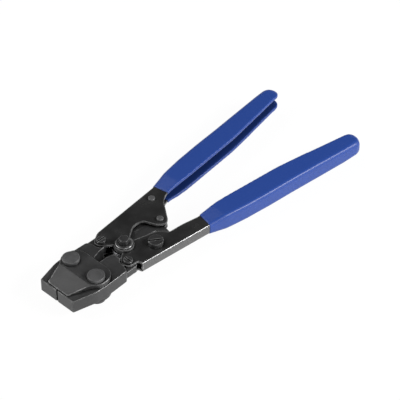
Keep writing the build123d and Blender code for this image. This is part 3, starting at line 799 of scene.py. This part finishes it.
class CLAMP_OT_grips(bpy.types.Operator):
    """Dipped vinyl grips, soft at every edge."""

    bl_idname = "clamp_tool.grips"
    bl_label = "Dipped grips"

    def execute(self, context):
        for side, word in ((-1, "left"), (1, "right")):
            name = word + "_grip_dipped"
            shape = filled_grip(side, word + "_grip", word + "_handle_frame")
            piece = softened(one_skin(add_object(name, to_mesh(shape, name))), side)
            hand_over(piece, word + "_grip", vinyl_finish())
        return {"FINISHED"}


# Fasteners
def arc(centre, radius, start_deg, end_deg):
    """Points of a round corner in a turned profile."""
    step = (end_deg - start_deg) / RIVET_ARC_STEPS
    turns = [radians(start_deg + step * i) for i in range(RIVET_ARC_STEPS + 1)]
    return [(centre[0] + radius * cos(turn), centre[1] + radius * sin(turn)) for turn in turns]


def rivet_profile(low, high, head_r, shank_r, head, edge, ring=None):
    """Profile of a rivet with a head at each end, its rims rounded, and a turned ring if given."""
    crown = []
    if ring:
        radius, depth = ring
        crown = [(radius + across * depth, high - down * depth) for across, down in RING_STEPS]
    top = [(0.0, high), *crown, *arc((head_r - edge, high - edge), edge, 90, 0), (head_r, high - head)]
    bottom = [(r, low + high - z) for r, z in reversed(top)]
    return top + [(shank_r, high - head), (shank_r, low + head)] + bottom


class CLAMP_OT_rivets(bpy.types.Operator):
    """Large jaw rivets and the small rivets of the ratchet sector."""

    bl_idname = "clamp_tool.rivets"
    bl_label = "Rivets"

    def execute(self, context):
        low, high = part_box("jaw_rivets")
        head_r = (high.y - low.y) / 2
        head = high.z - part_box("link_plate_top")[1].z
        places = [(JOINTS[name].x, JOINTS[name].y, 0.0) for name in ("left_jaw_hinge", "right_jaw_hinge")]
        profile = rivet_profile(
            low.z, high.z, head_r, JAW_RIVET_SHANK_R, head, JAW_RIVET_EDGE, JAW_RIVET_RING)
        piece = repeated("jaw_rivets_turned", turned_mesh("jaw rivet", profile), places, rivet_finish())
        hand_over(piece, "jaw_rivets", rivet_finish())

        low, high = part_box("sector_rivets")
        head_r = SECTOR_RIVET_R
        places = [(high.x - head_r, low.y + head_r, 0.0), (low.x + head_r, high.y - head_r, 0.0)]
        profile = rivet_profile(
            low.z, high.z, head_r, SECTOR_RIVET_SHANK_R, SECTOR_RIVET_HEAD, SECTOR_RIVET_EDGE)
        part = turned_mesh("sector rivet", profile)
        piece = repeated("sector_rivets_turned", part, places, rivet_finish())
        hand_over(piece, "sector_rivets", rivet_finish())
        return {"FINISHED"}


class CLAMP_OT_pivot(bpy.types.Operator):
    """Hexagon bolt, nut, sleeve and washers of the main pivot."""

    bl_idname = "clamp_tool.pivot"
    bl_label = "Main pivot"

    def execute(self, context):
        for node in ("pivot_bolt", "pivot_nut", "pivot_sleeve"):
            rounded_steel(node, "steel", sizes().hardware_edge, hardware_finish())
        rounded_steel("pivot_washers", "steel", sizes().plate_edge, plate_finish())
        return {"FINISHED"}


class CLAMP_OT_screws(bpy.types.Operator):
    """Slotted screws and thin nuts of the jaw tails."""

    bl_idname = "clamp_tool.screws"
    bl_label = "Tail screws"

    def execute(self, context):
        for node in ("left_tail_screw", "left_tail_nut", "right_tail_screw", "right_tail_nut"):
            rounded_steel(node, "steel", sizes().hardware_edge, hardware_finish())
        return {"FINISHED"}


class CLAMP_OT_ratchet(bpy.types.Operator):
    """Toothed sector, its spacers, the pawl, the release shaft and its clip."""

    bl_idname = "clamp_tool.ratchet"
    bl_label = "Ratchet and release"

    def execute(self, context):
        for node in ("ratchet_sector", "sector_spacers", "pawl", "release_shaft", "release_clip"):
            rounded_steel(node, "steel", sizes().hardware_edge, hardware_finish())
        return {"FINISHED"}


# Springs
def coil_line(centre, radius, start, sweep, heights, legs):
    """Points of a coil with a straight leg at each end."""
    count = round(abs(sweep) / (2 * pi) * POINTS_PER_TURN)
    way = 1 if sweep > 0 else -1
    first_up, last_up = heights
    points = []
    for step in range(count + 1):
        share = step / count
        turn = start + sweep * share
        points.append(Vector((
            centre.x + radius * cos(turn),
            centre.y + radius * sin(turn),
            MID_Z + first_up + (last_up - first_up) * share,
        )))
    end = start + sweep
    first = points[0] - Vector((-sin(start), cos(start), 0.0)) * way * legs[0]
    last = points[-1] + Vector((-sin(end), cos(end), 0.0)) * way * legs[1]
    return [first, *points, last]


def wire_spring(node, points, thickness):
    """Round wire along a line of points, put in the place of a CAD node."""
    name = node + "_wire"
    line = bpy.data.curves.new(name, "CURVE")
    line.dimensions = "3D"
    spline = line.splines.new("POLY")
    spline.points.add(len(points) - 1)
    for spot, point in zip(spline.points, points):
        spot.co = (*point, 1.0)
    values = {"Radius": thickness / 2, "Sides": WIRE_SIDES, "Material": wire_finish()}
    piece = run_tree(add_object(name, line), wire_tree(), values)
    smooth_by_angle(piece)
    hand_over(piece, node, wire_finish())


class CLAMP_OT_springs(bpy.types.Operator):
    """Opening spring round the main pivot and the small spring of the pawl."""

    bl_idname = "clamp_tool.springs"
    bl_label = "Springs"

    def execute(self, context):
        leg_far = hypot(*OPENING_LEG_AT)
        leave = atan2(OPENING_LEG_AT[1], OPENING_LEG_AT[0]) - acos(OPENING_COIL_R / leg_far)
        leg = sqrt(leg_far**2 - OPENING_COIL_R**2)
        sweep = pi - 2 * leave - 2 * pi * (OPENING_TURNS + 1)
        points = coil_line(PIVOT, OPENING_COIL_R, leave, sweep, OPENING_HEIGHTS, (leg, leg))
        wire_spring("opening_spring", points, sizes().opening_wire)

        start = radians(PAWL_START_DEG)
        sweep = radians(PAWL_END_DEG - PAWL_START_DEG + 360 * PAWL_TURNS)
        points = coil_line(RELEASE, PAWL_COIL_R, start, sweep, PAWL_HEIGHTS, PAWL_LEGS)
        wire_spring("pawl_spring", points, sizes().pawl_wire)
        return {"FINISHED"}


# Stage
def add_floor():
    """Round floor with a wall at its rim."""
    ground = bmesh.new()
    ring = bmesh.ops.create_circle(ground, cap_ends=True, radius=FLOOR_R, segments=FLOOR_SIDES)["verts"]
    for vert in ring:
        vert.co.z = -FLOOR_DROP
    rim = [edge for edge in ground.edges if edge.is_boundary]
    raised = bmesh.ops.extrude_edge_only(ground, edges=rim)["geom"]
    for vert in (v for v in raised if isinstance(v, bmesh.types.BMVert)):
        vert.co.z += WALL_HIGH
    floor = add_object("floor", to_mesh(ground, "floor"))
    floor.data.materials.append(studio_white())


def add_sky(scene, strength):
    """Even light from all round."""
    world = bpy.data.worlds.new("sky")
    world.use_nodes = True
    world.node_tree.nodes["Background"].inputs["Strength"].default_value = strength
    scene.world = world


def look_at_target(thing, place):
    """Put a lamp or the camera at a place, pointing at the tool."""
    thing.location = place
    thing.rotation_euler = (TARGET - Vector(place)).to_track_quat("-Z", "Y").to_euler()


def add_lamp(name, power, place, size):
    """Rectangular soft lamp."""
    data = bpy.data.lights.new(name, "AREA")
    data.energy = power
    data.shape = "RECTANGLE"
    data.size, data.size_y = size
    look_at_target(add_object(name, data), place)


def add_camera(scene, stage):
    """Camera at its distance and direction from the tool."""
    data = bpy.data.cameras.new("camera")
    data.lens = stage.lens
    out = cos(stage.elevation)
    away = Vector((sin(stage.azimuth) * out, -cos(stage.azimuth) * out, sin(stage.elevation)))
    scene.camera = add_object("camera", data)
    look_at_target(scene.camera, TARGET + away * stage.distance)


class CLAMP_OT_stage(bpy.types.Operator):
    """Floor, wall, soft light and the camera."""

    bl_idname = "clamp_tool.stage"
    bl_label = "Stage"

    def execute(self, context):
        scene = context.scene
        stage = scene.clamp_stage
        add_floor()
        add_sky(scene, stage.sky)
        for name, (place, size) in LAMPS.items():
            add_lamp(name, getattr(stage, name), place, size)
        add_camera(scene, stage)
        scene.view_settings.view_transform = "Standard"
        return {"FINISHED"}


OPERATORS = (
    CLAMP_OT_stage,
    CLAMP_OT_jaws,
    CLAMP_OT_frames,
    CLAMP_OT_grips,
    CLAMP_OT_rivets,
    CLAMP_OT_pivot,
    CLAMP_OT_screws,
    CLAMP_OT_ratchet,
    CLAMP_OT_springs,
)


class CLAMP_PT_panel(bpy.types.Panel):
    """Buttons for the stage and the tool's pieces, in the order they are made."""

    bl_idname = "CLAMP_PT_panel"
    bl_label = "Clamp tool"
    bl_space_type = "VIEW_3D"
    bl_region_type = "UI"
    bl_category = "Clamp tool"

    def draw(self, context):
        for operator in OPERATORS:
            self.layout.operator(operator.bl_idname)


GROUPS = {
    "clamp_sizes": ClampToolSizes,
    "clamp_finishes": ClampToolFinishes,
    "clamp_stage": ClampToolStage,
}


def register():
    for group in GROUPS.values():
        bpy.utils.register_class(group)
    for operator in OPERATORS:
        bpy.utils.register_class(operator)
    bpy.utils.register_class(CLAMP_PT_panel)
    for name, group in GROUPS.items():
        setattr(bpy.types.Scene, name, PointerProperty(type=group))


def unregister():
    for name in GROUPS:
        delattr(bpy.types.Scene, name)
    for kind in (CLAMP_PT_panel, *reversed(OPERATORS), *GROUPS.values()):
        bpy.utils.unregister_class(kind)


def main():
    register()
    for operator in OPERATORS:
        family, name = operator.bl_idname.split(".")
        getattr(getattr(bpy.ops, family), name)()


if __name__ == "__main__":
    main()
